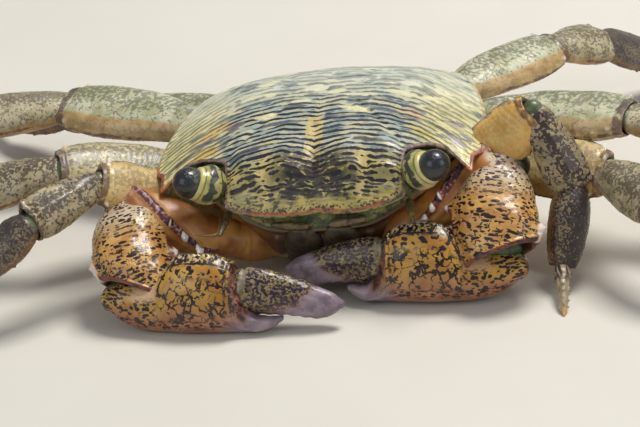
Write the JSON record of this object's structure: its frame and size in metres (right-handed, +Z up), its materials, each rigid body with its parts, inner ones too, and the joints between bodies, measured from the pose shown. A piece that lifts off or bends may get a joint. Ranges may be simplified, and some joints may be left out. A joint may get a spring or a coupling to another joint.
{
  "type": "striped shore crab",
  "caption": "Life-size shore crab standing with its claws folded in front of its mouth: squarish striped back, stalked eyes, four pairs of flat walking legs.",
  "frame": {"origin": "on the floor, under the middle of the whole crab's box", "axes": "+Z up, the crab faces -Y, its own left side is +X"},
  "size_m": [0.1272, 0.0676, 0.0193],
  "materials": {
    "carapace_shell": "wet olive shell with dark wavy transverse lines",
    "claw_shell": "wet orange-yellow shell netted with dark purple, pale below",
    "leg_shell": "wet olive and yellow shell mottled dark purple and green",
    "underside_shell": "damp pale yellow-orange shell",
    "eye": "glossy blue-black cornea",
    "stalk": "wet yellow-green shell with dark bands",
    "mouthparts": "damp orange-brown shell with short hair at the edges"
  },
  "bodies": {
    "root": {"abdomen": "underside_shell", "eye_left": "eye", "eyestalk_left": "stalk", "antenna_left": "stalk", "antennule_left": "mouthparts", "maxilliped_left": "mouthparts", "eye_right": "eye", "eyestalk_right": "stalk", "antenna_right": "stalk", "antennule_right": "mouthparts", "maxilliped_right": "mouthparts", "carapace": "carapace_shell", "body_underside": "underside_shell", "claw_left_ischium": "claw_shell", "claw_left_merus": "claw_shell", "claw_left_carpus": "claw_shell", "claw_left_palm": "claw_shell", "claw_left_dactyl": "claw_shell", "claw_right_ischium": "claw_shell", "claw_right_merus": "claw_shell", "claw_right_carpus": "claw_shell", "claw_right_palm": "claw_shell", "claw_right_dactyl": "claw_shell", "leg2_left_merus": "leg_shell", "leg2_left_carpus": "leg_shell", "leg2_left_propodus": "leg_shell", "leg2_left_dactyl": "leg_shell", "leg2_right_merus": "leg_shell", "leg2_right_carpus": "leg_shell", "leg2_right_propodus": "leg_shell", "leg2_right_dactyl": "leg_shell", "leg3_left_merus": "leg_shell", "leg3_left_carpus": "leg_shell", "leg3_left_propodus": "leg_shell", "leg3_left_dactyl": "leg_shell", "leg3_right_merus": "leg_shell", "leg3_right_carpus": "leg_shell", "leg3_right_propodus": "leg_shell", "leg3_right_dactyl": "leg_shell", "leg4_left_merus": "leg_shell", "leg4_left_carpus": "leg_shell", "leg4_left_propodus": "leg_shell", "leg4_left_dactyl": "leg_shell", "leg4_right_merus": "leg_shell", "leg4_right_carpus": "leg_shell", "leg4_right_propodus": "leg_shell", "leg4_right_dactyl": "leg_shell", "leg5_left_merus": "leg_shell", "leg5_left_carpus": "leg_shell", "leg5_left_propodus": "leg_shell", "leg5_left_dactyl": "leg_shell", "leg5_right_merus": "leg_shell", "leg5_right_carpus": "leg_shell", "leg5_right_propodus": "leg_shell", "leg5_right_dactyl": "leg_shell"}
  },
  "joints": []
}
